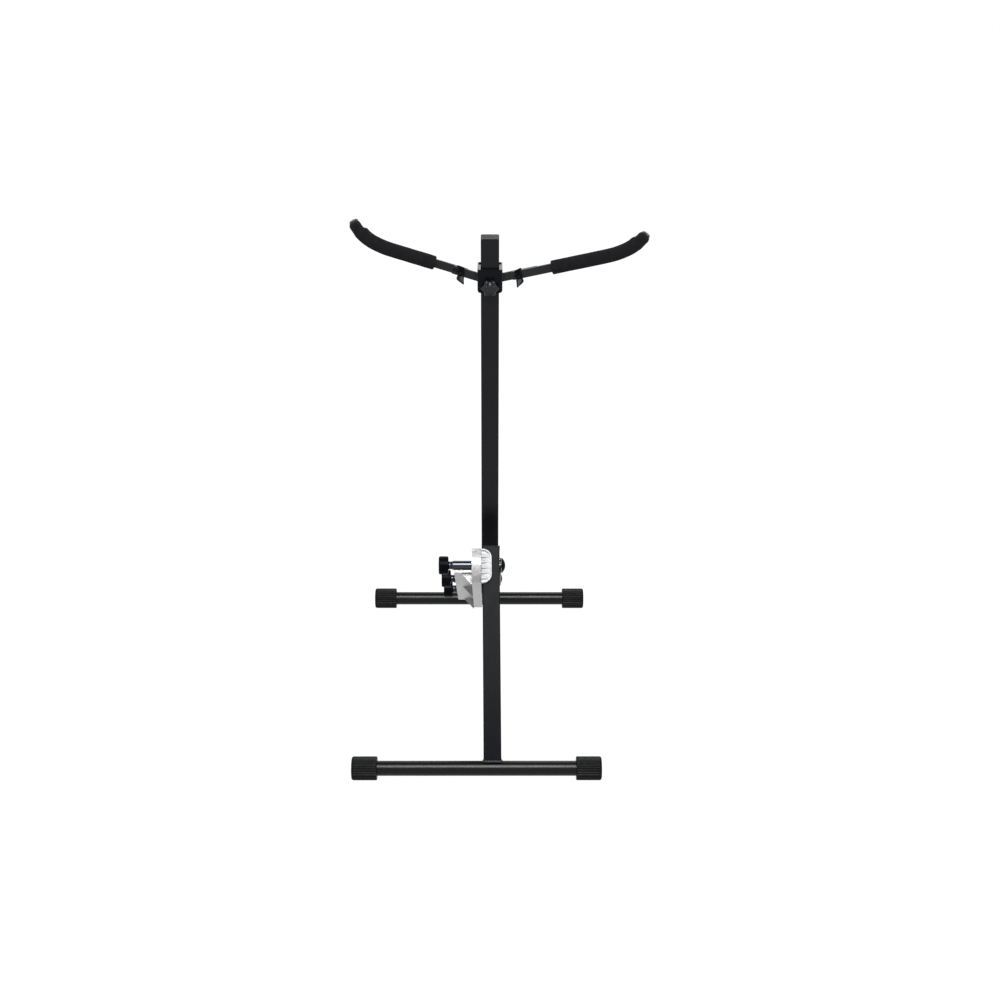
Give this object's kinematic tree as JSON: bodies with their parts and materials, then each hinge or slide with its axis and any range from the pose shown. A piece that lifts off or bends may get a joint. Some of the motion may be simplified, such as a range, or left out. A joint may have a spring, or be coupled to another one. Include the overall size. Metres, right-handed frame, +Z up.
{
  "type": "saxophone stand",
  "caption": "Folding floor stand for a saxophone: two foot bars, an inclined folding leg, a square post, a cast clamp bracket and a sliding yoke with padded upswept arms.",
  "frame": {"origin": "on the floor, at the middle of the bounding box", "axes": "+Z up, +X to the right seen from the front leg side, +Y towards the rear foot bar"},
  "size_m": [0.4216, 0.5042, 0.7289],
  "materials": {
    "black_paint": "satin",
    "leg_paint": "satin",
    "strip_paint": "semi-gloss",
    "cap_rubber": "matte",
    "grey_plug": "matte",
    "black_plug": "matte",
    "cast_metal": "sand cast",
    "pad_metal": "satin",
    "bolt_steel": "brushed",
    "dark_steel": "polished dark",
    "knob_plastic": "satin",
    "collar_plastic": "gloss",
    "black_zinc": "gloss",
    "foam": "matte foam",
    "tip_plastic": "matte"
  },
  "bodies": {
    "stand_frame": {"rear_foot_tube": "black_paint", "rear_left_cap": "cap_rubber", "rear_right_cap": "cap_rubber", "rear_leg": "black_paint", "post": "black_paint", "post_top_cap": "grey_plug", "post_bottom_plug": "black_plug", "hinge_casting": "cast_metal", "hinge_plate": "black_paint", "leg_stop_pin": "bolt_steel", "pivot_bolt": "bolt_steel", "middle_bolt": "bolt_steel", "leg_bolt": "bolt_steel", "pivot_sleeve": "dark_steel", "middle_sleeve": "dark_steel", "leg_sleeve": "dark_steel", "middle_dome_nut": "black_zinc", "pivot_bush": "bolt_steel"},
    "front_frame": {"front_leg": "leg_paint", "front_leg_plug": "grey_plug", "front_foot_tube": "black_paint", "front_left_cap": "cap_rubber", "front_right_cap": "cap_rubber"},
    "latch": {"latch_pad": "pad_metal"},
    "pivot_knob_body": {"pivot_knob": "knob_plastic"},
    "middle_knob_body": {"middle_knob": "knob_plastic"},
    "leg_knob_body": {"leg_knob": "knob_plastic"},
    "pivot_cap_body": {"pivot_cap_knob": "knob_plastic"},
    "yoke_collar": {"collar": "collar_plastic", "arm_pivot_bolt": "black_zinc"},
    "collar_knob_body": {"collar_knob": "collar_plastic"},
    "left_arm_root": {"left_inner_strip": "strip_paint"},
    "right_arm_root": {"right_inner_strip": "strip_paint"},
    "left_arm": {"left_arm_bar": "strip_paint", "left_foam": "foam", "left_tip_cap": "tip_plastic", "left_wing_bolt": "black_zinc"},
    "right_arm": {"right_arm_bar": "strip_paint", "right_foam": "foam", "right_tip_cap": "tip_plastic", "right_wing_bolt": "black_zinc"},
    "left_wing": {"left_wing_nut": "black_zinc"},
    "right_wing": {"right_wing_nut": "black_zinc"}
  },
  "joints": [
    {"name": "front_leg_fold", "type": "hinge", "parent": "stand_frame", "child": "front_frame", "pos_m": [-0.01342, -0.03867, 0.23641], "axis": [1, 0, 0], "range_deg": [0, 68]},
    {"name": "latch_slide", "type": "slide", "parent": "front_frame", "child": "latch", "axis": [0, -0.6665, -0.7455], "range_m": [0, 0.008]},
    {"name": "pivot_knob_turn", "type": "hinge", "parent": "stand_frame", "child": "pivot_knob_body", "pos_m": [-0.068, -0.03867, 0.23641], "axis": [1, 0, 0], "continuous": true},
    {"name": "middle_knob_turn", "type": "hinge", "parent": "stand_frame", "child": "middle_knob_body", "pos_m": [-0.068, 0.06115, 0.15629], "axis": [1, 0, 0], "continuous": true},
    {"name": "leg_knob_turn", "type": "hinge", "parent": "stand_frame", "child": "leg_knob_body", "pos_m": [-0.068, 0.14849, 0.08618], "axis": [1, 0, 0], "continuous": true},
    {"name": "pivot_cap_turn", "type": "hinge", "parent": "stand_frame", "child": "pivot_cap_body", "pos_m": [0.00458, -0.03867, 0.23641], "axis": [1, 0, 0], "continuous": true},
    {"name": "yoke_slide", "type": "slide", "parent": "stand_frame", "child": "yoke_collar", "axis": [0, 0, 1], "range_m": [-0.28, 0.03]},
    {"name": "collar_knob_turn", "type": "hinge", "parent": "yoke_collar", "child": "collar_knob_body", "pos_m": [-0.01342, 0.01, 0.6451], "axis": [0, 1, 0], "continuous": true},
    {"name": "left_arm_tilt", "type": "hinge", "parent": "yoke_collar", "child": "left_arm_root", "pos_m": [-0.01342, 0.059, 0.6416], "axis": [0, 1, 0], "range_deg": [-14, 14]},
    {"name": "right_arm_tilt", "type": "hinge", "parent": "yoke_collar", "child": "right_arm_root", "pos_m": [-0.01342, 0.062, 0.6416], "axis": [0, 1, 0], "range_deg": [-14, 14]},
    {"name": "left_arm_reach", "type": "slide", "parent": "left_arm_root", "child": "left_arm", "axis": [-0.954, 0, 0.2999], "range_m": [0, 0.008]},
    {"name": "right_arm_reach", "type": "slide", "parent": "right_arm_root", "child": "right_arm", "axis": [0.9769, 0, 0.2139], "range_m": [0, 0.024]},
    {"name": "left_wing_turn", "type": "hinge", "parent": "left_arm", "child": "left_wing", "pos_m": [-0.05444, 0.054, 0.6545], "axis": [0, 1, 0], "continuous": true},
    {"name": "right_wing_turn", "type": "hinge", "parent": "right_arm", "child": "right_wing", "pos_m": [0.02712, 0.054, 0.65048], "axis": [0, 1, 0], "continuous": true}
  ]
}
